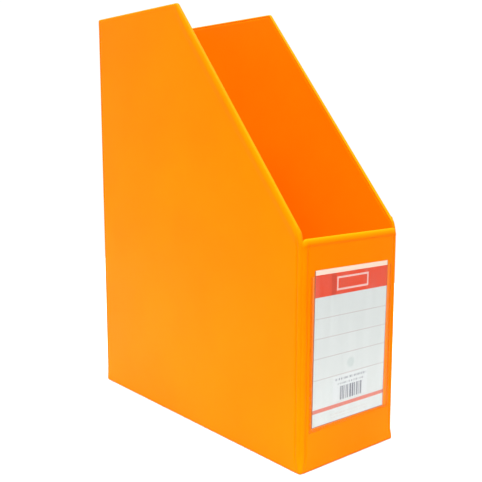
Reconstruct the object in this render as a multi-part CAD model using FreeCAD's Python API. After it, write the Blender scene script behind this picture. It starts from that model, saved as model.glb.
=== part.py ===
import FreeCAD, Part
import os
from math import sqrt, tan

# Fold-flat magazine file, of PVC film welded over greyboard panels.
# Millimetres. +Z is up, the front wall with the label pocket faces -Y, the
# left wall is at -X, and the origin is the centre of the underside.
# The four upright folds turn about the lines where the walls' inner faces
# meet, so the walls lean over as a parallelogram and lie flat together.

Vector = FreeCAD.Vector
X, Y, Z = Vector(1, 0, 0), Vector(0, 1, 0), Vector(0, 0, 1)

# Driving dimensions
HEIGHT = 320.0
WIDTH = 96.0
DEPTH = 255.0             # back wall to the face of the label pocket
FRONT_HEIGHT = 158.0
FLAT_TOP = 117.5          # level top edge of a side wall, from the back
BOARD = 2.4               # greyboard in the walls
FILM = 0.4                # each of the two film layers
FOLD_GAP = 0.3            # a panel's end stops this far from its fold line
WELD_RADIUS = 0.27        # bead where the two films are welded along a fold line
WELD_INSET = 4.0          # the upright welds stop short of the walls' top and bottom
EDGE_ROUND = 3.0          # film drawn over the edges of a wall
CORNER_ROUND = 3.0        # corners of a wall's outline
FOOT_ROUND = 1.5          # the outline's corners at the bottom

# Base flap, hinged on the right wall's bottom edge
BASE_BOARD = 1.8
BASE_HINGE_GAP = 3.5      # right wall to board, bridged by the hinge strip
BASE_FRONT_GAP = 1.0
BASE_BACK_GAP = 4.2       # the leaning back wall crosses this before the base is clear
BASE_LEFT_GAP = 0.8
HINGE_STRIP = 0.4         # thickness of the welded film in the low hinges
HINGE_INSET = 10.0        # the low hinges stop this far from the front and back walls
HINGE_REACH = 0.5         # a low hinge's fold line to its wall
HINGE_LEVEL = 0.3         # and from the film's free face
BASE_ROUND = 1.0

# Closing flap, hinged inside the left wall, over the base
FLAP_STIFFENER = 0.4
FLAP_WIDTH = 30.0
FLAP_END_GAP = 20.0       # the ends slope at 45 degrees from here
FLAP_HEIGHT = 6.4         # its top face above the floor
FLAP_ROUND = 0.55

# Press studs that close the base
STUD_Y = (-52.0, 52.0)
STUD_REACH = 15.0         # from the closing flap's fold line
WELL_RADIUS = 7.6
CAP_RADIUS = 6.2
CAP_HEIGHT = 1.1
BARREL_RADIUS = 1.2
BARREL_CLEARANCE = 0.1
SOCKET_RADIUS = 5.2
SOCKET_MOUTH = 3.6
SOCKET_HEIGHT = 2.0
SOCKET_METAL = 0.4
SPRING_WIRE = 0.3         # wire radius
BALL_RADIUS = 1.9
BALL_NECK = 1.5           # radius of the shank above the ball
BALL_BEVEL = 0.3          # height of the bevels above and below the ball's band
BALL_BAND = 0.5
BALL_GAP = 0.05           # ball to spring wire
STUD_PLAY = 0.2           # ball to socket, along the axis
POST_RADIUS = 4.6
POST_HEIGHT = 0.7
FLANGE = 0.3

# Label pocket and what it holds
CARD_WIDTH = 73.0
CARD_HEIGHT = 107.0
CARD_CENTRE_X, CARD_CENTRE_Z = -1.1, 82.8
CARD_TILT = 0.8           # degrees, clockwise in its loose pocket
CARD_THICK = 0.3
CARD_PLAY = 0.2
CARD_CORNER = 0.4
STICKER_THICK = 0.1
# from the card's centre
STICKER_LEFT, STICKER_RIGHT = -17.0, 18.0
STICKER_BOTTOM, STICKER_TOP = -39.5, -22.0
POCKET_SHEET = 0.3
POCKET_BORDER = 1.7
SLOT_WIDTH = 77.5
SLOT_BOTTOM = 28.4
POCKET_TOP = 133.0
POCKET_ROUND = 2.0

# Worked out from those
WALL = BOARD + 2 * FILM
POCKET_DEPTH = CARD_THICK + STICKER_THICK + 2 * CARD_PLAY
POCKET_PROUD = POCKET_DEPTH + POCKET_SHEET
X_INNER = WIDTH / 2 - WALL
Y_BACK_INNER = DEPTH / 2 - WALL
Y_FRONT_OUTER = -DEPTH / 2 + POCKET_PROUD
Y_FRONT_INNER = Y_FRONT_OUTER + WALL
Y_TOP_FRONT = DEPTH / 2 - FLAT_TOP
SLOPE = (HEIGHT - FRONT_HEIGHT) / (Y_TOP_FRONT - Y_FRONT_OUTER)
BASE_THICK = BASE_BOARD + 2 * FILM
FLAP_THICK = FLAP_STIFFENER + 2 * FILM
BASE_FOLD_X = X_INNER - HINGE_REACH
FLAP_FOLD_X = -X_INNER + HINGE_REACH
STUD_X = FLAP_FOLD_X + STUD_REACH
TINY = 1e-6


def rounded_wire(corners):
    """Closed wire through (point, radius) corners, with a tangent arc at each."""
    stretches = []
    for index, (corner, radius) in enumerate(corners):
        back = (corners[index - 1][0] - corner).normalize()
        ahead = (corners[(index + 1) % len(corners)][0] - corner).normalize()
        half_angle = back.getAngle(ahead) / 2
        reach = radius / tan(half_angle)
        bisector = (back + ahead).normalize()
        middle = corner + bisector * (sqrt(reach ** 2 + radius ** 2) - radius)
        stretches.append((corner + back * reach, middle, corner + ahead * reach))
    edges = []
    for index, (start, middle, end) in enumerate(stretches):
        edges.append(Part.LineSegment(stretches[index - 1][2], start).toShape())
        edges.append(Part.Arc(start, middle, end).toShape())
    return Part.Wire(edges)


def rounded_slab(wire, outward, thickness, edge_round):
    """Plate on the wire's plane, with its outward face's edges rounded."""
    plate = Part.Face(wire).extrude(outward * thickness)
    start = wire.Vertexes[0].Point
    outer_edges = [edge for edge in plate.Edges
                   if abs((edge.CenterOfMass - start).dot(outward) - thickness) < TINY]
    return plate.makeFillet(edge_round, outer_edges)


def wrapped_panel(corners, outward, thickness, edge_round):
    """Board, outer film and lining of a panel whose inner face has these corners.

    The outer film is a tray round the board; the lining closes its mouth and
    is welded to its lip all round."""
    wire = rounded_wire(corners)
    inner_wire = wire.makeOffset2D(-FILM)
    whole = rounded_slab(wire, outward, thickness, edge_round)
    core = rounded_slab(inner_wire, outward, thickness - FILM, edge_round - FILM)
    lining = Part.Face(inner_wire).extrude(outward * FILM)
    return {"board": core.cut(lining), "outer_film": whole.cut(core), "lining": lining}


def side_corners(x):
    """Outline of a side wall: level top at the back, sloping down to the front."""
    front, back = Y_FRONT_INNER + FOLD_GAP, Y_BACK_INNER - FOLD_GAP
    front_top = FRONT_HEIGHT + SLOPE * (front - Y_FRONT_OUTER)
    return [(Vector(x, front, 0), FOOT_ROUND), (Vector(x, back, 0), FOOT_ROUND),
            (Vector(x, back, HEIGHT), CORNER_ROUND), (Vector(x, Y_TOP_FRONT, HEIGHT), CORNER_ROUND),
            (Vector(x, front, front_top), CORNER_ROUND)]


def end_corners(y, height):
    """Outline of the front or back wall."""
    reach = X_INNER - FOLD_GAP
    return [(Vector(-reach, y, 0), FOOT_ROUND), (Vector(reach, y, 0), FOOT_ROUND),
            (Vector(reach, y, height), CORNER_ROUND), (Vector(-reach, y, height), CORNER_ROUND)]


def walls():
    panels = {
        "left": wrapped_panel(side_corners(-X_INNER), -X, WALL, EDGE_ROUND),
        "right": wrapped_panel(side_corners(X_INNER), X, WALL, EDGE_ROUND),
        "front": wrapped_panel(end_corners(Y_FRONT_INNER, FRONT_HEIGHT), -Y, WALL, EDGE_ROUND),
        "back": wrapped_panel(end_corners(Y_BACK_INNER, HEIGHT), Y, WALL, EDGE_ROUND),
    }
    return {f"{wall}_{layer}": shape
            for wall, layers in panels.items() for layer, shape in layers.items()}


def upright_weld(x, y, end, outward, height):
    """Weld along a corner's fold line: a round bead on the line, and the strip of
    film from it to the panel that it belongs to, whose end lies towards end."""
    bottom, length = Vector(x, y, WELD_INSET), height - 2 * WELD_INSET
    bead = Part.makeCylinder(WELD_RADIUS, length, bottom)
    rim = [bottom, bottom + end * FOLD_GAP, bottom + end * FOLD_GAP + outward * FILM,
           bottom + outward * FILM, bottom]
    return bead.fuse(Part.Face(Part.makePolygon(rim)).extrude(Z * length)).removeSplitter()


def upright_welds():
    return {"front_right_fold": upright_weld(X_INNER, Y_FRONT_INNER, Y, X, FRONT_HEIGHT),
            "front_left_fold": upright_weld(-X_INNER, Y_FRONT_INNER, X, -Y, FRONT_HEIGHT),
            "back_right_fold": upright_weld(X_INNER, Y_BACK_INNER, -Y, X, HEIGHT),
            "back_left_fold": upright_weld(-X_INNER, Y_BACK_INNER, -Y, -X, HEIGHT)}


def low_strip(x_from, x_to, level):
    """Welded film of a low hinge, between two distances from the centre."""
    front, back = Y_FRONT_INNER + HINGE_INSET, Y_BACK_INNER - HINGE_INSET
    return Part.makeBox(abs(x_to - x_from), back - front, HINGE_STRIP,
                        Vector(min(x_from, x_to), front, level - HINGE_STRIP / 2))


def low_weld(wall_x, fold_x, level):
    """Weld of a low hinge: a bead on the fold line and the film from it to the wall."""
    front, back = Y_FRONT_INNER + HINGE_INSET, Y_BACK_INNER - HINGE_INSET
    bead = Part.makeCylinder(WELD_RADIUS, back - front, Vector(fold_x, front, level), Y)
    return bead.fuse(low_strip(wall_x, fold_x, level)).removeSplitter()


def upright_cylinders(radius, bottom, top):
    """One cylinder at each press stud."""
    return [Part.makeCylinder(radius, top - bottom, Vector(STUD_X, y, bottom)) for y in STUD_Y]


def base_flap():
    left, right = -X_INNER + BASE_LEFT_GAP, X_INNER - BASE_HINGE_GAP
    front, back = Y_FRONT_INNER + BASE_FRONT_GAP, Y_BACK_INNER - BASE_BACK_GAP
    corners = [(Vector(x, y, BASE_THICK), CORNER_ROUND)
               for x, y in ((left, front), (right, front), (right, back), (left, back))]
    layers = wrapped_panel(corners, -Z, BASE_THICK, BASE_ROUND)
    wells = upright_cylinders(WELL_RADIUS, 0, BASE_THICK - FILM)
    holes = upright_cylinders(BARREL_RADIUS + BARREL_CLEARANCE, 0, BASE_THICK)
    hinge_strip = low_strip(right - BASE_ROUND, BASE_FOLD_X - FOLD_GAP, HINGE_LEVEL)
    return {"base_board": layers["board"].cut(wells),
            "base_under_film": layers["outer_film"].cut(wells),
            "base_top_film": layers["lining"].cut(holes),
            "base_hinge_strip": hinge_strip.cut(list(layers.values())),
            "base_fold": low_weld(X_INNER, BASE_FOLD_X, HINGE_LEVEL)}


def closing_flap():
    root, tip = FLAP_FOLD_X + FOLD_GAP, FLAP_FOLD_X + FLAP_WIDTH
    front, back = Y_FRONT_INNER + FLAP_END_GAP, Y_BACK_INNER - FLAP_END_GAP
    outline = ((root, front), (tip, front + FLAP_WIDTH), (tip, back - FLAP_WIDTH), (root, back))
    corners = [(Vector(x, y, FLAP_HEIGHT), CORNER_ROUND) for x, y in outline]
    layers = wrapped_panel(corners, -Z, FLAP_THICK, FLAP_ROUND)
    holes = upright_cylinders(BARREL_RADIUS + BARREL_CLEARANCE, FLAP_HEIGHT - FLAP_THICK, FLAP_HEIGHT)
    return {"closing_flap_stiffener": layers["board"].cut(holes),
            "closing_flap_under_film": layers["outer_film"].cut(holes),
            "closing_flap_top_film": layers["lining"].cut(holes),
            "closing_flap_fold": low_weld(-X_INNER, FLAP_FOLD_X, FLAP_HEIGHT - HINGE_LEVEL)}


def turned(profile):
    """The same turned piece at each press stud; profile is (radius, height) points."""
    points = [Vector(radius, 0, height) for radius, height in profile]
    ring = Part.Face(Part.makePolygon(points + points[:1])).revolve(Vector(), Z, 360)
    return Part.makeCompound([ring.translated(Vector(STUD_X, y, 0)) for y in STUD_Y])


def stud_caps():
    """Domed caps in the wells under the base, with barrels up through the film."""
    film_under = BASE_THICK - FILM
    apex = film_under - CAP_HEIGHT
    dome_radius = (CAP_RADIUS ** 2 + CAP_HEIGHT ** 2) / (2 * CAP_HEIGHT)
    halfway = apex + dome_radius - sqrt(dome_radius ** 2 - CAP_RADIUS ** 2 / 4)
    dome = Part.Arc(Vector(0, 0, apex), Vector(CAP_RADIUS / 2, 0, halfway),
                    Vector(CAP_RADIUS, 0, film_under)).toShape()
    barrel_top = BASE_THICK + SOCKET_METAL
    corners = [Vector(CAP_RADIUS, 0, film_under), Vector(BARREL_RADIUS, 0, film_under),
               Vector(BARREL_RADIUS, 0, barrel_top), Vector(0, 0, barrel_top), Vector(0, 0, apex)]
    wire = Part.Wire([dome] + Part.makePolygon(corners).Edges)
    cap = Part.Face(wire).revolve(Vector(), Z, 360)
    return Part.makeCompound([cap.translated(Vector(STUD_X, y, 0)) for y in STUD_Y])


def stud_sockets():
    """Sockets on the base, hollow inside the lip for the spring."""
    bottom, top = BASE_THICK, BASE_THICK + SOCKET_HEIGHT
    inside = SOCKET_RADIUS - SOCKET_METAL
    return turned([(BARREL_RADIUS, bottom), (SOCKET_RADIUS, bottom), (SOCKET_RADIUS, top),
                   (SOCKET_MOUTH, top), (SOCKET_MOUTH, top - SOCKET_METAL),
                   (inside, top - SOCKET_METAL), (inside, bottom + SOCKET_METAL),
                   (BARREL_RADIUS, bottom + SOCKET_METAL)])


def stud_springs():
    """Wire rings with two straight runs along Y that grip the ball."""
    ring_radius = SOCKET_RADIUS - SOCKET_METAL - SPRING_WIRE
    run_x = BALL_RADIUS + BALL_GAP + SPRING_WIRE
    half_run = sqrt(ring_radius ** 2 - run_x ** 2)
    height = BASE_THICK + SOCKET_HEIGHT / 2
    ring = Part.makeTorus(ring_radius, SPRING_WIRE, Vector(0, 0, height))
    runs = [Part.makeCylinder(SPRING_WIRE, 2 * half_run, Vector(side * run_x, -half_run, height), Y)
            for side in (-1, 1)]
    spring = ring.fuse(runs)
    return Part.makeCompound([spring.translated(Vector(STUD_X, y, 0)) for y in STUD_Y])


def stud_balls():
    """Ball studs under the closing flap, each bored for its post."""
    flap_under = FLAP_HEIGHT - FLAP_THICK
    tip = BASE_THICK + SOCKET_METAL + STUD_PLAY
    band_top = tip + BALL_BEVEL + BALL_BAND
    bore_end = tip + SOCKET_METAL
    return turned([(0, tip), (BALL_NECK, tip), (BALL_RADIUS, tip + BALL_BEVEL),
                   (BALL_RADIUS, band_top), (BALL_NECK, band_top + BALL_BEVEL),
                   (BALL_NECK, flap_under - FLANGE), (POST_RADIUS, flap_under - FLANGE),
                   (POST_RADIUS, flap_under), (BARREL_RADIUS, flap_under),
                   (BARREL_RADIUS, bore_end), (0, bore_end)])


def stud_posts():
    """Flat heads on the closing flap, with barrels down into the ball studs."""
    barrel_end = BASE_THICK + 2 * SOCKET_METAL + STUD_PLAY
    head_top = FLAP_HEIGHT + POST_HEIGHT
    return turned([(0, barrel_end), (BARREL_RADIUS, barrel_end), (BARREL_RADIUS, FLAP_HEIGHT),
                   (POST_RADIUS, FLAP_HEIGHT), (POST_RADIUS - FLANGE, head_top), (0, head_top)])


def upright_plate(left, right, bottom, top, y, thickness, corner_round):
    """Plate in front of the plane y, with rounded corners."""
    corners = [(Vector(x, y, z), corner_round)
               for x, z in ((left, bottom), (right, bottom), (right, top), (left, top))]
    return Part.Face(rounded_wire(corners)).extrude(-Y * thickness)


def label_pocket():
    """Clear sheet welded to the front wall at both sides and the bottom, open on top."""
    half_width = SLOT_WIDTH / 2 + POCKET_BORDER
    sheet = upright_plate(-half_width, half_width, SLOT_BOTTOM - POCKET_BORDER, POCKET_TOP,
                          Y_FRONT_OUTER, POCKET_PROUD, POCKET_ROUND)
    slot = Part.makeBox(SLOT_WIDTH, POCKET_DEPTH, HEIGHT,
                        Vector(-SLOT_WIDTH / 2, Y_FRONT_OUTER - POCKET_DEPTH, SLOT_BOTTOM))
    return sheet.cut(slot)


def as_pocketed(shape):
    """Moves a shape drawn round the card's centre to where the card stands in its pocket."""
    shape.rotate(Vector(0, 0, 0), Y, CARD_TILT)
    shape.translate(Vector(CARD_CENTRE_X, 0, CARD_CENTRE_Z))
    return shape


def label_card():
    card = upright_plate(-CARD_WIDTH / 2, CARD_WIDTH / 2, -CARD_HEIGHT / 2, CARD_HEIGHT / 2,
                         Y_FRONT_OUTER - CARD_PLAY, CARD_THICK, CARD_CORNER)
    return as_pocketed(card)


def price_sticker():
    sticker = upright_plate(STICKER_LEFT, STICKER_RIGHT, STICKER_BOTTOM, STICKER_TOP,
                            Y_FRONT_OUTER - CARD_PLAY - CARD_THICK, STICKER_THICK, CARD_CORNER)
    return as_pocketed(sticker)


def all_parts():
    parts = {}
    parts.update(walls())
    parts.update(upright_welds())
    parts.update(base_flap())
    parts.update(closing_flap())
    for maker in (stud_caps, stud_sockets, stud_springs, stud_balls, stud_posts,
                  label_pocket, label_card, price_sticker):
        parts[maker.__name__] = maker()
    return parts


os.makedirs("parts", exist_ok=True)
for node, shape in all_parts().items():
    shape.exportStep(f"parts/{node}.step")
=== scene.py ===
from collections import namedtuple
from math import cos, pi, radians, sin, sqrt

import bpy
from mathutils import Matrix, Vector


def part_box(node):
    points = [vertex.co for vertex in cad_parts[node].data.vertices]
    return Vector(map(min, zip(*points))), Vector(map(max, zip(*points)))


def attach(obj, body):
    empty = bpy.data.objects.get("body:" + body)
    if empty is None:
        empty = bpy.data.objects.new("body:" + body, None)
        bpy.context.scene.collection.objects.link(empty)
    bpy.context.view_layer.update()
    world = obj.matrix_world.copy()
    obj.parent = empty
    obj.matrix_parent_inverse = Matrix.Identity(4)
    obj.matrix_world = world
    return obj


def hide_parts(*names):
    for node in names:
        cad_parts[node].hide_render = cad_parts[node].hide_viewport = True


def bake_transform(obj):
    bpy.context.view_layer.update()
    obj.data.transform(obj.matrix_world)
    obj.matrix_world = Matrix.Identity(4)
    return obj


# Looks of the fold-flat magazine file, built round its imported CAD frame.
# Metres, +Z up. The front wall with the label pocket faces -Y.

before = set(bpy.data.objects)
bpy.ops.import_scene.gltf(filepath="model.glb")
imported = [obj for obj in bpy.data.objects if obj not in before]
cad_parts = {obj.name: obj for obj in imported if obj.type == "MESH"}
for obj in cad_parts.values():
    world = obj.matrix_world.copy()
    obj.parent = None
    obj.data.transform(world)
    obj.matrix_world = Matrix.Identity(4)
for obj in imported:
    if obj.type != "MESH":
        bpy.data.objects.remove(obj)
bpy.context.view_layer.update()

MM = 0.001

# Walls and folds, from the frame
right_low, right_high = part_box("right_outer_film")
front_low, front_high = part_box("front_outer_film")
back_low, back_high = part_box("back_outer_film")
WALL = right_high.x - right_low.x
HEIGHT = right_high.z
FRONT_HEIGHT = front_high.z
LEVEL_TOP = 117.5 * MM          # level top edge of a side wall, from the back
Y_LEVEL = back_high.y - LEVEL_TOP
SLOPE = (HEIGHT - FRONT_HEIGHT) / (Y_LEVEL - front_low.y)
SLOPE_LENGTH = sqrt(1 + SLOPE ** 2)

# Film
FILM = 0.4 * MM
BEAD = 5.0 * MM                 # width of the bead along a top edge, with its crease
BEAD_CHANGE = 16.0 * MM         # length over which a side's bead changes at the level top
FOOT_ROUND = 0.8 * MM           # film drawn over a bottom edge, on its outer side
RIM_ROUND = 0.5 * MM            # and on its inner side
FLANGE = 1.5 * MM               # weld strip on the inner face, along a free edge
CORNER_ROUND = 3.0 * MM         # between a side's level top and its slope
CORNER_BLEND = 0.41             # height over which the two lines are blended, per radius
CORNER_OFFSETS = (-4, -2.5, -1.5, -0.7, 0, 0.7, 1.5, 2.5, 4)   # columns round it, in mm
LOOSENESS = 0.28 * MM           # how far the film lifts off the board between its edges
WAVE_ALONG, WAVE_UP = 90 * MM, 110 * MM     # lengths that set the size of its slow waves
STILL_ENDS, STILL_EDGES = 25 * MM, 30 * MM  # they fade over these, along and up
CELL = 8.0 * MM                 # grid spacing on open film
CREASE = radians(50)            # film turning sharper than this shows a crease

# Folds
FOLD_MARGIN = 6.0 * MM          # a fold strip's reach from the fold line
FOLD_STEPS = 8                  # columns across a wall's rounded end
END_FULLNESS = 0.62             # 1 is a round wall end, 0 a square one
CORNER_FULLNESS = 0.76          # share of the way from the groove to the corner's own round
EAR_LENGTH = 10.0 * MM          # over which a corner fills out to a full round at its ends
FRONT_ROUNDS = (4.0 * MM, 5.6 * MM)     # a front corner's own round, and the one at its top
BACK_ROUNDS = (2.2 * MM, 3.0 * MM)      # the same for a back corner
FOOT_EAR_ROUND = 2.0 * MM       # film is drawn to a sharper corner at the bottom
# line along a board's end: (share of the way to the wall's own film, how far it is sunk)
END_LINE = ((0.05, 0.25 * MM), (0.11, 0.6 * MM), (0.17, 0.6 * MM), (0.24, 0.25 * MM),
            (0.32, 0.05 * MM), (0.6, 0), (1, 0))
EAR_DROP = 1.2 * MM             # the top edge dips this far at a fold line
FOOT_RISE = 0.2 * MM            # and the bottom edge rises this far
SIDE_SHOULDER = 1.3 * MM        # reach over which a side's top edge comes up from the dip
END_SHOULDER = 2.2 * MM         # the same for the front and back walls
LINING_ROUND = 1.0 * MM         # of the lining, in an inner corner
LINING_FLAT = 1.6 * MM          # from this far off the fold line, the lining lies flat
LINING_MARGIN = 2.4 * MM        # reach of a lining's fold strip from the fold line
HINGE_TRIM = 5.0 * MM           # a low hinge's film stops this far from its weld's ends

Wall = namedtuple("Wall", "name body start along outward length top shoulder")
Fold = namedtuple("Fold", "name node wall_a wall_b corner_round ear_round")


# Small helpers

def smooth(share):
    share = min(max(share, 0.0), 1.0)
    return share * share * (3 - 2 * share)


def mix(a, b, share):
    return a + (b - a) * share


def spread(start, end, count):
    """count + 1 values from start to end."""
    return [mix(start, end, index / count) for index in range(count + 1)]


def grid_faces(rows):
    count = len(rows[0])
    return [(i * count + j, i * count + j + 1, (i + 1) * count + j + 1, (i + 1) * count + j)
            for i in range(len(rows) - 1) for j in range(count - 1)]


def grid_rim(rows):
    """Indices of a grid's outer points, in the order that its faces go round."""
    count, last = len(rows[0]), len(rows) * len(rows[0]) - 1
    return (list(range(count)) + list(range(2 * count - 1, last, count))
            + list(range(last, last - count, -1)) + list(range(last - 2 * count + 1, 0, -count)))


def film_sheet(name, rows, facing, thickness, material, slot_name):
    """Closed film of some thickness behind a grid of points that faces a direction."""
    surface = bpy.data.meshes.new(name)
    surface.from_pydata([point for row in rows for point in row], [], grid_faces(rows))
    total = sum((face.normal * face.area for face in surface.polygons), Vector())
    if total.dot(facing) < 0:
        bpy.data.meshes.remove(surface)
        return film_sheet(name, rows[::-1], facing, thickness, material, slot_name)
    front = [vertex.co.copy() for vertex in surface.vertices]
    back = [vertex.co - vertex.normal * thickness for vertex in surface.vertices]
    bpy.data.meshes.remove(surface)
    behind, rim = len(front), grid_rim(rows)
    faces = grid_faces(rows)
    faces += [tuple(index + behind for index in reversed(face)) for face in faces]
    faces += [(b, a, a + behind, b + behind) for a, b in zip(rim, rim[1:] + rim[:1])]
    mesh = bpy.data.meshes.new(name)
    mesh.from_pydata(front + back, [], faces)
    mesh.shade_smooth()
    mesh.set_sharp_from_angle(angle=CREASE)
    mesh.materials.append(material)
    piece = bpy.data.objects.new(name, mesh)
    bpy.context.scene.collection.objects.link(piece)
    return piece


# Materials

class Surface:
    """A Principled material and the few node chains that these materials share."""

    def __init__(self, name):
        self.material = bpy.data.materials.new(name)
        self.material.use_nodes = True
        self.nodes = self.material.node_tree.nodes
        self.links = self.material.node_tree.links
        self.shader = self.nodes["Principled BSDF"]
        self.place = self.node("ShaderNodeTexCoord").outputs["Object"]
        self.normal = None

    def node(self, kind, **settings):
        made = self.nodes.new(kind)
        for setting, value in settings.items():
            setattr(made, setting, value)
        return made

    def put(self, value, socket):
        if isinstance(value, bpy.types.NodeSocket):
            self.links.new(value, socket)
        else:
            socket.default_value = value

    def math(self, operation, *values):
        made = self.node("ShaderNodeMath", operation=operation)
        for value, socket in zip(values, made.inputs):
            self.put(value, socket)
        return made.outputs[0]

    def noise(self, scale, detail=2.0, roughness=0.5, stretch=(1, 1, 1)):
        mapping = self.node("ShaderNodeMapping")
        self.put(self.place, mapping.inputs["Vector"])
        mapping.inputs["Scale"].default_value = stretch
        made = self.node("ShaderNodeTexNoise")
        self.put(mapping.outputs[0], made.inputs["Vector"])
        made.inputs["Scale"].default_value = scale
        made.inputs["Detail"].default_value = detail
        made.inputs["Roughness"].default_value = roughness
        return made.outputs["Fac"]

    def ranged(self, value, low, high, to_low, to_high):
        made = self.node("ShaderNodeMapRange")
        for item, socket in zip((value, low, high, to_low, to_high), made.inputs):
            self.put(item, socket)
        return made.outputs[0]

    def blend(self, share, first, second):
        made = self.node("ShaderNodeMix", data_type="RGBA")
        self.put(share, made.inputs["Factor"])
        self.put(first, made.inputs[6])
        self.put(second, made.inputs[7])
        return made.outputs[2]

    def bump(self, height, strength, distance):
        made = self.node("ShaderNodeBump")
        made.inputs["Strength"].default_value = strength
        made.inputs["Distance"].default_value = distance
        self.put(height, made.inputs["Height"])
        if self.normal is not None:
            self.put(self.normal, made.inputs["Normal"])
        self.normal = made.outputs["Normal"]

    def finish(self, **sockets):
        for name, value in sockets.items():
            self.put(value, self.shader.inputs[name.replace("_", " ")])
        if self.normal is not None:
            self.put(self.normal, self.shader.inputs["Normal"])
        return self.material


def rgb(red, green, blue):
    return (red, green, blue, 1.0)


def pvc_film(name, colour, shade, roughness):
    """Satin calendered PVC: a slow drift in colour and gloss, orange peel and a fine grain."""
    film = Surface(name)
    drift = film.ranged(film.noise(14, 3), 0.35, 0.65, 0.0, 1.0)
    mottle = film.ranged(film.noise(160, 3), 0.3, 0.7, 0.0, 0.35)
    tone = film.blend(film.math("MULTIPLY", drift, 0.6), colour, shade)
    tone = film.blend(film.math("MULTIPLY", mottle, 0.3), tone, shade)
    gloss = film.ranged(film.noise(30, 4), 0.3, 0.7, roughness - 0.04, roughness + 0.05)
    film.bump(film.noise(210, 2), 0.12, 0.4 * MM)
    film.bump(film.noise(2300, 2), 0.16, 0.05 * MM)
    return film.finish(Base_Color=tone, Roughness=gloss, IOR=1.09,
                       Specular_Tint=rgb(1.0, 0.7, 0.3))


def nickel(name, base, roughness):
    metal = Surface(name)
    dull = metal.noise(500, 4)
    metal.bump(metal.noise(2600, 2, stretch=(1, 1, 0.3)), 0.08, 0.02 * MM)
    tone = metal.blend(metal.ranged(dull, 0.3, 0.7, 0.0, 0.5), base, rgb(0.42, 0.41, 0.38))
    gloss = metal.ranged(dull, 0.3, 0.7, roughness - 0.05, roughness + 0.1)
    return metal.finish(Base_Color=tone, Roughness=gloss, Metallic=1.0)


def greyboard():
    board = Surface("greyboard")
    fibres = board.noise(900, 5, 0.7, stretch=(1, 1, 3))
    flecks = board.ranged(board.noise(2600, 2), 0.62, 0.7, 0.0, 1.0)
    tone = board.blend(fibres, rgb(0.26, 0.235, 0.2), rgb(0.46, 0.43, 0.38))
    tone = board.blend(board.math("MULTIPLY", flecks, 0.5), tone, rgb(0.12, 0.11, 0.1))
    board.bump(fibres, 0.5, 0.08 * MM)
    return board.finish(Base_Color=tone, Roughness=0.93, Specular_IOR_Level=0.2)


def clear_film(half_width, bottom, border):
    """Clear PVC with streaks of white haze that partly stand for the sheen of its ripples; over its
    welded border the sheet carries a painted shadow line, a dark brown-orange tone at higher cover.
    """
    film = Surface("clear_film")
    film.bump(film.noise(60, 2, stretch=(1, 1, 0.35)), 0.25, 0.5 * MM)
    # streaks of white haze, partly real haze and partly painted sheen of the sheet's ripples
    streaks = film.noise(75, 3, 0.6, stretch=(1, 1, 0.12))
    haze_and_sheen = film.ranged(streaks, 0.36, 0.66, 0.0, 0.035)
    separate = film.node("ShaderNodeSeparateXYZ")
    film.put(film.place, separate.inputs[0])
    from_side = film.math("SUBTRACT", half_width, film.math("ABSOLUTE", separate.outputs["X"]))
    inside = film.math("MINIMUM", from_side, film.math("SUBTRACT", separate.outputs["Z"], bottom))
    # painted shadow: a dark brown-orange tone, at higher cover, over the welded border beside the
    # card
    weld = film.ranged(inside, border * 0.8, border * 1.4, 1.0, 0.0)
    tone = film.blend(weld, rgb(0.86, 0.89, 0.88), rgb(0.3, 0.06, 0.0))
    dull = film.ranged(film.noise(90, 3), 0.3, 0.7, 0.1, 0.2)
    cover = film.math("MAXIMUM", haze_and_sheen, film.math("MULTIPLY", weld, 0.1))
    return film.finish(Base_Color=tone, Roughness=dull, Alpha=cover, IOR=1.35)


outer_material = pvc_film("outer_pvc", rgb(0.90, 0.188, 0.0), rgb(0.86, 0.165, 0.0), 0.38)
lining_material = pvc_film("lining_pvc", rgb(0.90, 0.178, 0.0), rgb(0.87, 0.155, 0.0), 0.45)


# Outline of the walls

def level_top(height):
    """Height of the line that lies some distance inside a level top edge."""
    return lambda reach, inset: height - inset


def side_top(reach, inset):
    """The same for a side wall: a slope from the front, rounded into the level top."""
    level = HEIGHT - inset
    y = front_high.y + reach
    sloping = FRONT_HEIGHT + SLOPE * (y - front_low.y) - inset * SLOPE_LENGTH
    soften = CORNER_BLEND * max(CORNER_ROUND - inset, 0.1 * MM)
    overlap = max(soften - abs(level - sloping), 0.0) / soften
    return min(level, sloping) - overlap ** 2 * soften / 4


def make_walls():
    x, y_front, y_back = right_low.x, front_high.y, back_low.y
    depth, width = y_back - y_front, 2 * x
    sides_along, ends_along = Vector((0, 1, 0)), Vector((1, 0, 0))
    front_left, front_right = Vector((-x, y_front, 0)), Vector((x, y_front, 0))
    back_left = Vector((-x, y_back, 0))
    return {
        "left": Wall("left", "left_side", front_left, sides_along, -ends_along, depth,
                     side_top, SIDE_SHOULDER),
        "right": Wall("right", "right_side", front_right, sides_along, ends_along, depth,
                      side_top, SIDE_SHOULDER),
        "front": Wall("front", "front_wall", front_left, ends_along, -sides_along, width,
                      level_top(FRONT_HEIGHT), END_SHOULDER),
        "back": Wall("back", "back_wall", back_left, ends_along, sides_along, width,
                     level_top(HEIGHT), END_SHOULDER),
    }


walls = make_walls()
folds = [Fold("front_right", "front_right_fold", "right", "front", *FRONT_ROUNDS),
         Fold("back_right", "back_right_fold", "right", "back", *BACK_ROUNDS),
         Fold("front_left", "front_left_fold", "front", "left", *FRONT_ROUNDS),
         Fold("back_left", "back_left_fold", "left", "back", *BACK_ROUNDS)]


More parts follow.
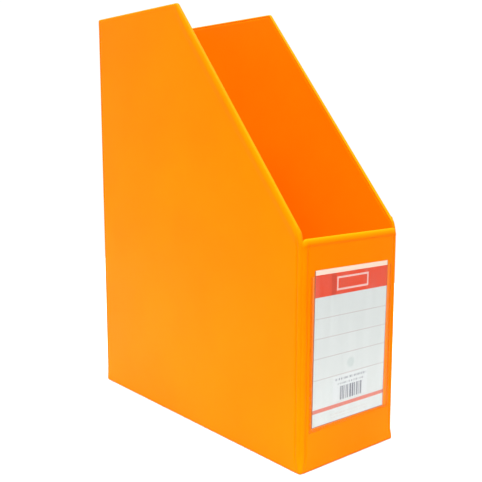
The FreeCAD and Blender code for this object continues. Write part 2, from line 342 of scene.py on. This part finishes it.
# Sections of the outer film over a top edge, from its weld strip on the inner face: distance
# inside the outline and depth from the inner face, in mm. The front wall's bead ends in a
# crease, the bead on a side's slope runs out slowly, and the level tops are drawn tight.
FRONT_BEAD = ((1.5, 0.0), (1.0, 0.0), (0.6, 0.08), (0.35, 0.22), (0.15, 0.5), (0.03, 0.9),
              (0.0, 1.3), (0.1, 1.65), (0.32, 1.95), (0.72, 2.32), (1.3, 2.7), (1.95, 3.02),
              (2.65, 3.23), (3.3, 3.34), (3.85, 3.38), (4.25, 3.35), (4.55, 3.27), (4.9, 3.17),
              (5.4, 3.12), (6.2, 3.13), (7.5, 3.17), (9.0, 3.2), (13.0, 3.2), (17.0, 3.2),
              (23.0, 3.2))
SLOPE_BEAD = ((1.5, 0.0), (1.0, 0.0), (0.62, 0.06), (0.38, 0.25), (0.24, 0.6), (0.1, 1.1),
              (0.02, 1.5), (0.0, 1.8), (0.1, 2.1), (0.32, 2.4), (0.65, 2.68), (1.1, 2.94),
              (1.7, 3.2), (2.4, 3.42), (3.1, 3.56), (3.8, 3.62), (4.6, 3.58), (5.4, 3.48),
              (6.2, 3.37), (7.0, 3.28), (7.8, 3.22), (9.0, 3.2), (13.0, 3.2), (17.0, 3.2),
              (23.0, 3.2))
LEVEL_BEAD = ((1.5, 0.0), (1.0, 0.0), (0.6, 0.08), (0.35, 0.22), (0.15, 0.5), (0.04, 0.9),
              (0.0, 1.3), (0.0, 1.7), (0.03, 2.0), (0.1, 2.3), (0.2, 2.55), (0.34, 2.75),
              (0.5, 2.9), (0.7, 3.02), (0.95, 3.11), (1.3, 3.17), (1.8, 3.2), (2.6, 3.22),
              (3.6, 3.22), (5.0, 3.21), (6.5, 3.2), (9.0, 3.2), (13.0, 3.2), (17.0, 3.2),
              (23.0, 3.2))


def bead_profile(wall, reach):
    """A wall's bead some way along it: (distance inside the outline, share of the thickness)."""
    if wall.name == "front":
        section = FRONT_BEAD
    elif wall.name == "back":
        section = LEVEL_BEAD
    else:
        level = smooth(0.5 + (reach - (Y_LEVEL - front_high.y)) / BEAD_CHANGE)
        section = [mix(Vector(a), Vector(b), level) for a, b in zip(SLOPE_BEAD, LEVEL_BEAD)]
    return [(inset * MM, depth * MM / WALL) for inset, depth in section]


def foot_profile():
    """The same at a bottom edge, where the film is drawn tight."""
    section = [(FLANGE, 0.0), (0.9 * MM, 0.0)]
    for angle in spread(0, pi / 2, 3):
        section.append((RIM_ROUND * (1 - sin(angle)), RIM_ROUND * (1 - cos(angle))))
    for angle in spread(radians(14), pi / 2, 6):
        section.append((FOOT_ROUND * (1 - cos(angle)), WALL - FOOT_ROUND * (1 - sin(angle))))
    section += [(inset * MM, WALL) for inset in (3.0, 5.0, 8.0, 13.0, 18.0, 23.0)]
    return [(inset, depth / WALL) for inset, depth in section]


def lining_profile():
    """Section of the lining at a free edge: (distance inside the outline, depth into the wall)."""
    return [(inset * MM, depth * MM) for inset, depth in
            ((1.6, 0.34), (1.85, 0.16), (2.15, 0.02), (2.7, -0.04), (4.0, -0.03), (6.0, 0.0),
             (10.0, 0.0), (17.0, 0.0), (23.0, 0.0))]


def upright_rows(foot, top, rows_between):
    """Bottom edge, open film and top edge: (which edge, distance inside, depth, share up)."""
    bottom = [("bottom", inset, depth, 0.0) for inset, depth in foot]
    inset, depth = top[-1]
    top = [("top", inset, depth, 1.0) for inset, depth in reversed(top)]
    between = [("between", inset, depth, share) for share in spread(0, 1, rows_between)[1:-1]]
    return bottom + between + top


def row_height(row, top_line, bottom_line):
    """Height of a row, where the outline's top and bottom lines are known."""
    edge, inset, _, share = row
    if edge == "bottom":
        return bottom_line(inset)
    if edge == "top":
        return top_line(inset)
    return mix(bottom_line(inset), top_line(inset), share)


def looseness(wall, reach, height):
    """Share by which the film lifts off the board: slow waves that fade at the edges."""
    seed = sum(ord(letter) for letter in wall.name)
    u, v = reach / WAVE_ALONG, height / WAVE_UP
    waves = (sin(1.3 * u + 0.7 * v + seed) + sin(0.8 * v - 1.9 * u + 2.1 * seed)
             + 0.6 * sin(2.3 * v + 1.1 * u + 0.5 * seed)) / 2.6
    top = wall.top(reach, 0)
    inside = min(reach - FOLD_MARGIN, wall.length - FOLD_MARGIN - reach)
    fade = smooth(inside / STILL_ENDS) * smooth(height / STILL_EDGES)
    fade *= smooth((top - height) / STILL_EDGES)
    return fade * (0.55 + 0.45 * waves)


def wall_columns(wall, margin):
    """Distances along a wall, closer together where a side's slope meets its level top."""
    ends = (margin, wall.length - margin)
    columns = spread(*ends, round((ends[1] - ends[0]) / CELL))
    if wall.top is side_top:
        corner = Y_LEVEL - front_high.y
        columns = [reach for reach in columns if abs(reach - corner) > 5 * MM]
        columns += [corner + offset * MM for offset in CORNER_OFFSETS]
    return sorted(columns)


def wall_film(wall):
    """The outer film of a wall, between its two fold strips."""
    between = round(wall.top(wall.length / 2, 0) / CELL)
    columns = []
    for reach in wall_columns(wall, FOLD_MARGIN):
        points = []
        for row in upright_rows(foot_profile(), bead_profile(wall, reach), between):
            height = row_height(row, lambda inset: wall.top(reach, inset), lambda inset: inset)
            depth = row[2] * WALL
            if row[1] > BEAD:
                depth += LOOSENESS * looseness(wall, reach, height)
            flat = wall.start + wall.along * reach + wall.outward * depth
            points.append((flat.x, flat.y, height))
        columns.append(points)
    piece = film_sheet(f"{wall.name}_skin", columns, wall.outward, FILM,
                       outer_material, "outer_film")
    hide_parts(f"{wall.name}_outer_film")
    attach(piece, wall.body)


def wall_lining(wall):
    """The lining of a wall, let in to the outer film's weld strip."""
    rows = []
    for row in upright_rows(lining_profile(), lining_profile(),
                            round(wall.top(wall.length / 2, 0) / CELL)):
        points = []
        for reach in wall_columns(wall, LINING_MARGIN):
            height = row_height(row, lambda inset: wall.top(reach, inset), lambda inset: inset)
            lift = 0.5 * LOOSENESS * looseness(wall, reach, height)
            flat = wall.start + wall.along * reach + wall.outward * (row[2] - lift)
            points.append((flat.x, flat.y, height))
        rows.append(points)
    piece = film_sheet(f"{wall.name}_lining_skin", rows, -wall.outward, FILM,
                       lining_material, "lining_film")
    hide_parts(f"{wall.name}_lining")
    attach(piece, wall.body)


# Folds: the film goes into the groove between two walls' rounded ends, down to the fold
# line, and bulges round the corner where it nears the top and bottom edges.

def other_side(fold, name):
    """Name of the other wall at a fold."""
    return fold.wall_b if name == fold.wall_a else fold.wall_a


def fold_side(fold, name):
    """(wall, fold line, direction from the line into the wall, reach of the line) of one side."""
    wall = walls[name]
    other = walls[other_side(fold, name)]
    # the fold line is at the wall's start when the other wall stands on that end
    at_start = (other.outward.dot(wall.along) < 0)
    line = wall.start + wall.along * (0 if at_start else wall.length)
    return wall, line, wall.along * (1 if at_start else -1), 0 if at_start else wall.length


def fold_height(fold, name, row, reach):
    """Height of a row at some distance from the fold line: the two walls' free edges dip
    towards each other over their shoulders."""
    wall, _, _, base = fold_side(fold, name)
    tops = [walls[side].top(fold_side(fold, side)[3], 0) for side in (fold.wall_a, fold.wall_b)]
    along = base + reach if base == 0 else base - reach
    rise = sqrt(1 - (1 - min(reach / wall.shoulder, 1)) ** 2)

    def top_line(inset):
        return mix(min(tops) - EAR_DROP - inset, wall.top(along, inset), rise)

    def bottom_line(inset):
        return inset + FOOT_RISE * (1 - rise)

    return row_height(row, top_line, bottom_line)


def groove_columns():
    """(reach, depth, turn) across the rounded end of a wall, from the fold line outwards.
    turn is the same column's share on an ear's arc."""
    columns = []
    for share in spread(0, 1, FOLD_STEPS):
        angle = share * pi / 2
        # max() keeps the cosine of a right angle from falling below 0
        inward, outward = (max(side, 0.0) ** END_FULLNESS for side in (cos(angle), sin(angle)))
        columns.append((WALL * (1 - inward), WALL * outward, share))
    return columns


def ear_point(wall, other, line, share, ear_round):
    """Point of the convex film round a corner; share is 0 on the diagonal, 1 on the wall's face."""
    centre = line + (wall.outward + other.outward) * (WALL - ear_round)
    angle = pi / 4 * (1 - share)
    return centre + (wall.outward * cos(angle) + other.outward * sin(angle)) * ear_round


def fold_rows(fold, name):
    """Grid of one side of a fold's outer film, from the fold line outwards: round the corner,
    into the shallow line along the board's end, and on to the wall's own film."""
    wall, line, inward, base = fold_side(fold, name)
    other, _, _, other_base = fold_side(fold, other_side(fold, name))
    own = bead_profile(wall, base)
    # the two walls' sections meet halfway, on the fold line
    shared = [mix(Vector(a), Vector(b), 0.5) for a, b in zip(own, bead_profile(other, other_base))]
    between = round(FRONT_HEIGHT / CELL)
    own_rows, shared_rows = (upright_rows(foot_profile(), top, between) for top in (own, shared))
    rows = []
    for (edge, inset, depth, up), (_, shared_inset, shared_depth, _) in zip(own_rows, shared_rows):
        near = smooth(1 - inset / EAR_LENGTH) if edge != "between" else 0.0
        bulge = mix(CORNER_FULLNESS, 1.0, near)
        end_round = FOOT_EAR_ROUND if edge == "bottom" else fold.ear_round
        ear_round = mix(fold.corner_round, end_round, near)
        points = []
        for reach, groove, turn in groove_columns():
            row = (edge, mix(shared_inset, inset, smooth(turn)), 0, up)
            foot = line + inward * reach
            ear = ear_point(wall, other, line, turn, ear_round)
            face = mix(foot + wall.outward * groove, ear, bulge)
            flat = mix(foot, face, mix(shared_depth, depth, smooth(turn)))
            points.append((flat.x, flat.y, fold_height(fold, name, row, reach)))
        round_end = mix(WALL, ear_round - WALL, bulge * depth)
        for share, sunk in END_LINE:
            reach = mix(round_end, FOLD_MARGIN, share)
            flat = line + inward * reach + wall.outward * (depth * WALL - sunk * (1 - near))
            height = fold_height(fold, name, (edge, inset, 0, up), max(reach, wall.shoulder))
            points.append((flat.x, flat.y, height))
        rows.append(points)
    return rows


def lining_fold_rows(fold, name):
    """Grid of one side of a fold's lining, from the fold line into the wall."""
    wall, line, inward, _ = fold_side(fold, name)
    _, _, other_inward, _ = fold_side(fold, other_side(fold, name))
    centre = line + (inward + other_inward) * LINING_ROUND
    rows = []
    for row in upright_rows(lining_profile(), lining_profile(), round(FRONT_HEIGHT / CELL)):
        points = []
        for angle in spread(pi / 4, 0, 4):
            out = -(other_inward * cos(angle) + inward * sin(angle))
            flat = centre + out * (LINING_ROUND + row[2])
            reach = (flat - line).dot(inward)
            points.append((flat.x, flat.y, fold_height(fold, name, row, reach)))
        for reach in (LINING_FLAT, LINING_MARGIN):
            flat = line + inward * reach + wall.outward * row[2]
            points.append((flat.x, flat.y, fold_height(fold, name, row, reach)))
        rows.append(points)
    return rows


def joined_rows(first, second):
    """Two sides of a fold as one grid, sharing the column on the fold line."""
    return [list(reversed(a)) + b[1:] for a, b in zip(first, second)]


def fold_film(fold):
    """The two films of a fold. The open pivot's are cut along the fold line."""
    wall_a, line, into_a, _ = fold_side(fold, fold.wall_a)
    wall_b, _, into_b, _ = fold_side(fold, fold.wall_b)
    outwards = wall_a.outward + wall_b.outward
    for layer, make_rows, facing, material, slot_name in (
            ("outer", fold_rows, outwards, outer_material, "outer_film"),
            ("lining", lining_fold_rows, -outwards, lining_material, "lining_film")):
        sides = [make_rows(fold, name) for name in (fold.wall_a, fold.wall_b)]
        if fold.name == "back_left":
            for wall, rows in zip((wall_a, wall_b), sides):
                piece = film_sheet(f"fold_{fold.name}_{layer}_{wall.name}", rows, facing, FILM,
                                   material, slot_name)
                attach(piece, wall.body)
        else:
            piece = film_sheet(f"fold_{fold.name}_{layer}", joined_rows(*sides), facing, FILM,
                               material, slot_name)
            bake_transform(piece)
        if layer == "outer":
            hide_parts(fold.node)


for each_wall in walls.values():
    wall_film(each_wall)
    wall_lining(each_wall)
for each_fold in folds:
    fold_film(each_fold)


# Low hinges: a strip of film from a wall's inner face, over the fold line, to the panel. Its
# section is in mm, as (x, z).

BASE_HINGE = ((44.42, 7.0), (44.42, 4.0), (44.42, 2.0), (44.38, 1.3), (44.25, 0.85),
              (43.95, 0.6), (43.5, 0.52), (43.0, 0.5), (42.4, 0.5), (41.7, 0.5), (41.0, 0.5))
BASE_HINGE_FILM = 0.38 * MM
FLAP_HINGE = ((-44.64, 2.0), (-44.64, 4.0), (-44.64, 5.0), (-44.58, 5.6), (-44.4, 6.05),
              (-44.1, 6.35), (-43.7, 6.5), (-43.2, 6.54), (-42.0, 6.54), (-39.0, 6.54),
              (-36.0, 6.54))
FLAP_HINGE_FILM = 0.14 * MM
HINGE_COLUMNS = 30


def hinge_film(fold_node, section, facing, thickness):
    """Strip with one section all along a fold."""
    low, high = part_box(fold_node)
    rows = []
    for x, z in section:
        along = spread(low.y + HINGE_TRIM, high.y - HINGE_TRIM, HINGE_COLUMNS)
        rows.append([(x * MM, y, z * MM) for y in along])
    piece = film_sheet(fold_node.replace("fold", "hinge_film"), rows, facing, thickness,
                       outer_material, "outer_film")
    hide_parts(fold_node)
    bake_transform(piece)
    return piece


base_film = hinge_film("base_fold", BASE_HINGE, Vector((-1, 0, 1)), BASE_HINGE_FILM)
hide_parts("base_hinge_strip")
hinge_film("closing_flap_fold", FLAP_HINGE, Vector((1, 0, 1)), FLAP_HINGE_FILM)


# Film margin of the base: a soft welded edge that stands out beyond the board on three sides

MARGIN_FILM = 0.35 * MM
MARGIN_ARC = 3.0 * MM           # the board's corners, as the margin goes round them
MARGIN_WIDTHS = (2.2 * MM, 3.4 * MM, 0.4 * MM)      # at its right, back and left
MARGIN_WAVE = 0.12 * MM         # height of its waves, which grow towards its edge
MARGIN_TURN = 0.9               # angle of the waves from one column to the next


def margin_path(low, high):
    """(centre, outward direction, width of the margin) of each column, from the right side's
    front end round the back to the left side's."""
    arc, widths = MARGIN_ARC, MARGIN_WIDTHS
    east, north = Vector((1, 0, 0)), Vector((0, 1, 0))
    centres = (Vector((high.x - arc, high.y - arc, 0)), Vector((low.x + arc, high.y - arc, 0)))
    path = [(Vector((high.x - arc, y, 0)), east, widths[0])
            for y in spread(low.y + arc, high.y - arc, 30)[:-1]]
    for corner, centre in enumerate(centres):
        for angle in spread(corner * pi / 2, (corner + 1) * pi / 2, 8):
            turn = smooth(angle / (pi / 2) - corner)
            width = mix(widths[corner], widths[corner + 1], turn)
            square = max(abs(cos(angle)), abs(sin(angle))) ** -0.5
            path.append((centre, east * cos(angle) + north * sin(angle),
                         (arc + width) * square - arc))
        if corner == 0:
            path += [(Vector((x, high.y - arc, 0)), north, widths[1])
                     for x in spread(high.x - arc, low.x + arc, 12)[1:-1]]
    path += [(Vector((low.x + arc, y, 0)), -east, widths[2])
             for y in spread(high.y - arc, low.y + arc, 30)[1:]]
    return path


def base_margin():
    """Strip that is welded along the base's edge and droops outwards."""
    low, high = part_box("base_under_film")
    arc = MARGIN_ARC
    columns = []
    for index, (centre, outward, width) in enumerate(margin_path(low, high)):
        sag = MARGIN_WAVE * sin(MARGIN_TURN * index)
        section = ((arc - 0.7 * MM, 0.03 * MM), (arc, 0.05 * MM), (arc + 0.3 * width, 0.02 * MM),
                   (arc + 0.7 * width, sag - 0.1 * MM), (arc + width, 1.6 * sag - 0.3 * MM))
        columns.append([centre + outward * reach + Vector((0, 0, high.z + rise))
                        for reach, rise in section])
    piece = film_sheet("base_margin", columns, Vector((0, 0, 1)), MARGIN_FILM,
                       lining_material, "lining_film")
    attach(piece, "base_flap")


base_margin()


# Label pocket: a clear sheet welded round three sides, drawn over the card

SHEET = 0.25 * MM
BORDER = 2.0 * MM               # welded down to the front wall
BOTTOM_EASE = 0.5 * MM          # the border along the bottom is narrower by this
RAMP = 1.3 * MM                 # from the border up onto the card
CUT_EDGE = 0.3 * MM             # first points in from the sheet's own edge
WELD_GAP = 0.05 * MM            # keeps the sheet's back off the wall
RIPPLE = 0.07 * MM
FLARE, FLARE_LENGTH = 0.25 * MM, 4 * MM     # the open top edge stands off the card


def sheet_ripple(x, z):
    """Waves down the sheet, with finer ones in its upper part."""
    broad = sin(x / (5.2 * MM) + 1.4 * sin(z / (23 * MM)))
    broad *= sin(z / (31 * MM) + x / (60 * MM) + 0.8)
    return broad + 0.6 * sin(x / (2.4 * MM) + z / (40 * MM)) * smooth((z - 0.1) / 0.03)


def pocket_film():
    low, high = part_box("label_pocket")
    face = front_low.y
    over_card = high.y - low.y
    columns = [low.x, low.x + CUT_EDGE, low.x + BORDER]
    columns += spread(low.x + BORDER + RAMP / 3, high.x - BORDER - RAMP / 3, 60)
    columns += [high.x - BORDER, high.x - CUT_EDGE, high.x]
    heights = [low.z, low.z + CUT_EDGE, low.z + BORDER - 0.7 * MM]
    heights += spread(low.z + BORDER - 0.3 * MM, high.z, 50)
    rows = []
    for z in heights:
        points = []
        for x in columns:
            inside = min(x - low.x, high.x - x, z - low.z + BOTTOM_EASE) - BORDER
            flare = FLARE * smooth(1 - (high.z - z) / FLARE_LENGTH)
            raised = over_card - SHEET - WELD_GAP + RIPPLE * sheet_ripple(x, z) + flare
            height = SHEET + WELD_GAP + smooth(inside / RAMP) * raised
            points.append((x, face - height, z))
        rows.append(points)
    piece = film_sheet("pocket_sheet", rows, Vector((0, -1, 0)), SHEET,
                       clear_film(high.x, low.z, BORDER), "clear_film")
    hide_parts("label_pocket")
    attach(piece, "front_wall")


pocket_film()


# CAD pieces that stay, with their finishes

CARD_CENTRE = (-1.1 * MM, 0, 82.8 * MM)
CARD_TILT = radians(0.8)

# What is drawn on the card, as (left, right, bottom, top) in mm from its centre: its print, a
# painted shadow along its edge and a darker upright stripe across the title band
INSIDE_EDGE_SHADOW = (-35.9, 35.9, -52.9, 60)            # all but the thin painted shadow along the card's edge
HEAD_STRIP = (-40, 40, 50.2, 60)
TITLE_BAND = (-40, 40, 35.3, 50.2)
TITLE_STRIPE = (-20.7, -16.4, 35.3, 50.2)
TITLE_BOX = (-15.5, 16.0, 38.0, 47.5)
TITLE_BOX_HOLE = (-14.2, 14.7, 39.3, 46.2)
FOOT_BAND = (-40, 40, -43.9, -41.2)
RULE_ENDS, RULE_HALF = (-36, 36), 0.2
RULE_LEVELS = (20.9, 7.3, -6.3, -20.9)
DISC_CENTRE = (0.5 * MM, -14.1 * MM)
DISC_RADII = (2.9 * MM, 4.2 * MM)           # full inside the first, gone outside the second
FOOT_MARKS = ((-48.6, 700, 0.2), (-50.8, 900, 0.6))     # (bottom, scale, offset) of each row

# and on its sticker: (area, scale and offset of the dashes, how dark they are)
STICKER_MARKS = (((-9.8, 12.6, -39.1, -29.4), 1300, 0.1, 0.9),
                 ((-15.0, 17.0, -25.0, -23.4), 900, 0.3, 0.6),
                 ((-12.0, 14.5, -28.1, -26.8), 800, 0.7, 0.5))


def card_axes(surface):
    """Distances across and up from the tilted card's centre, and a rectangle on them."""
    mapping = surface.node("ShaderNodeMapping", vector_type="TEXTURE")
    surface.put(surface.place, mapping.inputs["Vector"])
    mapping.inputs["Location"].default_value = CARD_CENTRE
    mapping.inputs["Rotation"].default_value = (0, CARD_TILT, 0)
    separate = surface.node("ShaderNodeSeparateXYZ")
    surface.put(mapping.outputs[0], separate.inputs[0])
    x, z = separate.outputs["X"], separate.outputs["Z"]

    def rectangle(left, right, bottom, top):
        sides = [surface.math("GREATER_THAN", x, left * MM),
                 surface.math("LESS_THAN", x, right * MM),
                 surface.math("GREATER_THAN", z, bottom * MM),
                 surface.math("LESS_THAN", z, top * MM)]
        return surface.math("MULTIPLY", surface.math("MULTIPLY", *sides[:2]),
                            surface.math("MULTIPLY", *sides[2:]))

    return x, z, rectangle


def dashes(surface, x, scale, offset):
    """Uneven marks along a line."""
    made = surface.node("ShaderNodeTexNoise", noise_dimensions="1D")
    surface.put(surface.math("ADD", x, offset), made.inputs["W"])
    made.inputs["Scale"].default_value = scale
    made.inputs["Detail"].default_value = 0.0
    return surface.math("GREATER_THAN", made.outputs["Fac"], 0.5)


def printed_card():
    """Matt card with a red title band, rules, a faint disc, a thin red foot band and two rows
    of small marks; a darker upright stripe across the title band and a painted shadow along the
    card's edge."""
    card = Surface("card_print")
    x, z, rectangle = card_axes(card)
    fibres = card.noise(700, 4, 0.6)
    paper = card.blend(fibres, rgb(0.475, 0.505, 0.495), rgb(0.515, 0.54, 0.53))
    tone = card.blend(rectangle(*HEAD_STRIP), paper, rgb(0.72, 0.56, 0.45))
    for level in RULE_LEVELS:
        rule = rectangle(*RULE_ENDS, level - RULE_HALF, level + RULE_HALF)
        tone = card.blend(card.math("MULTIPLY", rule, 0.7), tone, rgb(0.34, 0.22, 0.22))
    across = card.math("SUBTRACT", x, DISC_CENTRE[0])
    up = card.math("SUBTRACT", z, DISC_CENTRE[1])
    from_disc = card.math("SQRT", card.math("ADD", card.math("POWER", across, 2.0),
                                            card.math("POWER", up, 2.0)))
    tone = card.blend(card.ranged(from_disc, *DISC_RADII, 0.55, 0.0), tone,
                      rgb(0.38, 0.43, 0.42))
    ink = card.ranged(card.noise(1500, 3), 0.3, 0.7, 0.97, 1.0)
    tone = card.blend(card.math("MULTIPLY", rectangle(*TITLE_BAND), ink), tone,
                      rgb(0.60, 0.035, 0.0))
    # a darker upright stripe across the title band
    tone = card.blend(card.math("MULTIPLY", rectangle(*TITLE_STRIPE), 0.6), tone,
                      rgb(0.40, 0.02, 0.0))
    title = card.math("SUBTRACT", rectangle(*TITLE_BOX), rectangle(*TITLE_BOX_HOLE))
    tone = card.blend(card.math("MULTIPLY", title, 0.8), tone, rgb(0.66, 0.5, 0.46))
    tone = card.blend(card.math("MULTIPLY", rectangle(*FOOT_BAND), ink), tone,
                      rgb(0.52, 0.15, 0.11))
    for bottom, scale, offset in FOOT_MARKS:
        marks = card.math("MULTIPLY", rectangle(-18.5, 19.5, bottom, bottom + 1.0),
                          dashes(card, x, scale, offset))
        tone = card.blend(card.math("MULTIPLY", marks, 0.3), tone, rgb(0.4, 0.28, 0.26))
    # painted shadow: a thin dark brown-orange line round the card's edge
    edge = card.math("SUBTRACT", 1.0, rectangle(*INSIDE_EDGE_SHADOW))
    tone = card.blend(card.math("MULTIPLY", edge, 0.9), tone, rgb(0.30, 0.09, 0.01))
    card.bump(fibres, 0.15, 0.03 * MM)
    return card.finish(Base_Color=tone, Roughness=0.62, Specular_IOR_Level=0.2)


def printed_sticker():
    """White sticker with upright bars and two rows of small dashes."""
    sticker = Surface("sticker_print")
    x, _, rectangle = card_axes(sticker)
    tone = rgb(0.51, 0.535, 0.535)
    for area, scale, offset, strength in STICKER_MARKS:
        ink = sticker.math("MULTIPLY", rectangle(*area), dashes(sticker, x, scale, offset))
        tone = sticker.blend(sticker.math("MULTIPLY", ink, strength), tone, rgb(0.04, 0.04, 0.07))
    sticker.bump(sticker.noise(900, 3), 0.05, 0.02 * MM)
    return sticker.finish(Base_Color=tone, Roughness=0.45, Specular_IOR_Level=0.3)


def dress_cad_nodes():
    board = greyboard()
    stud = nickel("stud_nickel", rgb(0.66, 0.65, 0.61), 0.22)
    finishes = {"label_card": printed_card(), "price_sticker": printed_sticker(),
                "stud_springs": nickel("spring_wire", rgb(0.52, 0.52, 0.53), 0.3),
                "closing_flap_stiffener": board, "base_board": board}
    for name in ("stud_caps", "stud_sockets", "stud_balls", "stud_posts"):
        finishes[name] = stud
    for name in walls:
        finishes[f"{name}_board"] = board
    for name in ("base_under_film", "closing_flap_under_film"):
        finishes[name] = outer_material
    for name in ("base_top_film", "closing_flap_top_film"):
        finishes[name] = lining_material
    for name, material in finishes.items():
        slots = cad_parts[name].data.materials
        for index in range(len(slots)):
            slots[index] = material


dress_cad_nodes()


# Studio: pale floor, soft lights and the camera

FLOOR_RADIUS = 0.6
FLOOR_CENTRE = (-0.1, 0.25, -0.2 * MM)      # just under the base, and more of it behind
# Radiance of the room, and its bright parts: (direction, cosine where it starts, where it is
# full, radiance)
ROOM = 0.35
BACKDROP = ((0.64, 0.77, -0.5), 0.0, 0.45, 1.05)
SOFTBOX = ((-0.18, -0.1, 0.98), 0.76, 0.88, 10.8)
LENS, SENSOR = 56.0, 36.0
CAMERA_PLACE = (-0.3787, -0.4620, 0.2279)
CAMERA_TURN = (radians(-39.81), radians(8.53))      # azimuth and elevation of its back


def floor():
    bpy.ops.mesh.primitive_circle_add(vertices=96, radius=FLOOR_RADIUS, fill_type="NGON",
                                      location=FLOOR_CENTRE)
    ground = bpy.context.object
    ground.name = "floor"
    pale = Surface("pale_floor")
    tone = pale.blend(pale.noise(5, 3), rgb(0.5, 0.5, 0.5), rgb(0.54, 0.54, 0.54))
    ground.data.materials.append(pale.finish(Base_Color=tone, Roughness=0.8,
                                             Specular_IOR_Level=0.1))


def studio():
    """A wide softbox above and to the left, a white sweep behind and below, a dimmer room."""
    world = bpy.data.worlds.new("studio")
    world.use_nodes = True
    nodes, links = world.node_tree.nodes, world.node_tree.links
    direction = nodes.new("ShaderNodeTexCoord").outputs["Generated"]
    panels = []
    for towards, starts, full, radiance in (BACKDROP, SOFTBOX):
        cosine = nodes.new("ShaderNodeVectorMath")
        cosine.operation = "DOT_PRODUCT"
        links.new(direction, cosine.inputs[0])
        cosine.inputs[1].default_value = towards
        panel = nodes.new("ShaderNodeMapRange")
        panel.interpolation_type = "SMOOTHSTEP"
        links.new(cosine.outputs["Value"], panel.inputs["Value"])
        panel.inputs["From Min"].default_value = starts
        panel.inputs["From Max"].default_value = full
        panel.inputs["To Min"].default_value = ROOM
        panel.inputs["To Max"].default_value = radiance
        panels.append(panel.outputs[0])
    brighter = nodes.new("ShaderNodeMath")
    brighter.operation = "MAXIMUM"
    for panel, socket in zip(panels, brighter.inputs):
        links.new(panel, socket)
    # what the camera sees past the object is the same white all round
    seen = nodes.new("ShaderNodeMath")
    seen.operation = "MAXIMUM"
    links.new(brighter.outputs[0], seen.inputs[0])
    links.new(nodes.new("ShaderNodeLightPath").outputs["Is Camera Ray"], seen.inputs[1])
    background = nodes["Background"]
    background.inputs["Color"].default_value = rgb(1.0, 1.0, 1.0)
    links.new(seen.outputs[0], background.inputs["Strength"])
    bpy.context.scene.world = world
    bpy.context.scene.view_settings.view_transform = "Standard"


def camera():
    data = bpy.data.cameras.new("photo_view")
    data.lens, data.sensor_width = LENS, SENSOR
    data.clip_start, data.clip_end = 0.02, 50
    view = bpy.data.objects.new("photo_view", data)
    azimuth, elevation = CAMERA_TURN
    back = Vector((sin(azimuth) * cos(elevation), -cos(azimuth) * cos(elevation), sin(elevation)))
    view.location = CAMERA_PLACE
    view.rotation_mode = "QUATERNION"
    view.rotation_quaternion = (-back).to_track_quat("-Z", "Y")
    bpy.context.scene.collection.objects.link(view)
    bpy.context.scene.camera = view


floor()
studio()
camera()
